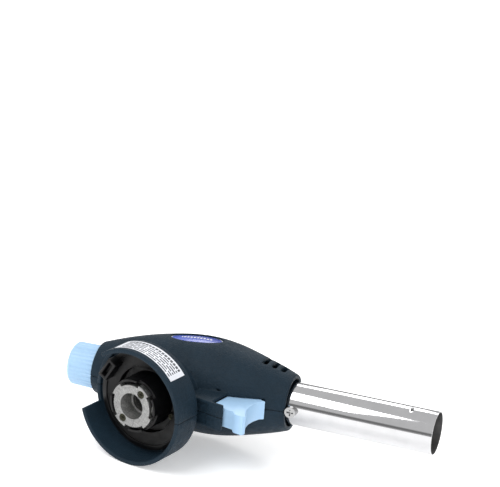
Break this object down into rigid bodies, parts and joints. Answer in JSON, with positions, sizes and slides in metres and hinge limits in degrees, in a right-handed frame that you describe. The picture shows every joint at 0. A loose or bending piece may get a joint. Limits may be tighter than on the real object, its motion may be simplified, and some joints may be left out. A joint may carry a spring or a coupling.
{
  "type": "clip-on gas torch head",
  "caption": "Clip-on gas torch head with egg-shaped plastic housing, cartridge cup, fluted gas knob, piezo trigger and polished flame tube.",
  "frame": {"origin": "centre of the cartridge seat's bore, on the face of the metal adapter plate", "axes": "+X forward along the flame tube, -Y towards the cartridge (whose axis leans 13 degrees back), +Z out of the badge side"},
  "size_m": [0.1767, 0.0705, 0.0554],
  "materials": {
    "housing_plastic": "moulded dark blue-grey plastic with a fine spark-eroded grain",
    "sky_plastic": "moulded light blue plastic, satin",
    "black_plastic": "moulded black plastic",
    "badge_print": "oval blue foil badge with a pale rim and one row of plain blocks",
    "label_print": "white label with plain grey bars",
    "polished_steel": "mirror polished stainless steel",
    "zinc_casting": "bead-blasted zinc casting",
    "screw_steel": "zinc plated steel",
    "turned_brass": "turned brass",
    "seal_rubber": "black rubber",
    "white_ceramic": "glazed white ceramic sleeve"
  },
  "bodies": {
    "housing": {"housing_badge_side": "housing_plastic", "housing_plain_side": "housing_plastic", "badge_plate": "badge_print", "rating_label": "label_print", "housing_screws": "screw_steel", "cartridge_seat": "black_plastic", "seat_screws": "screw_steel", "cartridge_adapter": "zinc_casting", "adapter_screws": "screw_steel", "inlet_seal": "seal_rubber", "inlet_pin": "turned_brass", "inlet_filter": "turned_brass", "valve_body": "zinc_casting", "gland_nut": "turned_brass", "gas_jet": "turned_brass", "mixing_tube": "turned_brass", "burner_support": "zinc_casting", "burner_head": "turned_brass", "flame_tube": "polished_steel", "flame_tube_screw": "screw_steel", "electrode_insulator": "white_ceramic", "electrode": "screw_steel", "ignition_lead": "seal_rubber", "piezo_unit": "black_plastic"},
    "trigger": {"trigger": "sky_plastic", "piezo_plunger": "black_plastic", "piezo_spring": "screw_steel"},
    "spindle_seals": {"spindle_rings": "seal_rubber"},
    "knob": {"control_knob": "sky_plastic", "valve_spindle": "turned_brass"}
  },
  "joints": [
    {"name": "trigger_press", "type": "slide", "parent": "housing", "child": "trigger", "axis": [-0.9744, 0.225, 0], "range_m": [0, 0.0045], "stiffness_N_per_m": 2500, "springref_m": -0.001, "deforming": ["piezo_spring"]},
    {"name": "spindle_advance", "type": "slide", "parent": "housing", "child": "spindle_seals", "axis": [-1, 0, 0], "range_m": [0, 0.00112]},
    {"name": "knob_turn", "type": "hinge", "parent": "spindle_seals", "child": "knob", "pos_m": [0, 0.0343, 0], "axis": [-1, 0, 0], "range_deg": [0, 541]}
  ],
  "couplings": [
    {"joint": "knob_turn", "follows": "spindle_advance", "rad_per_m": 8377.6}
  ]
}
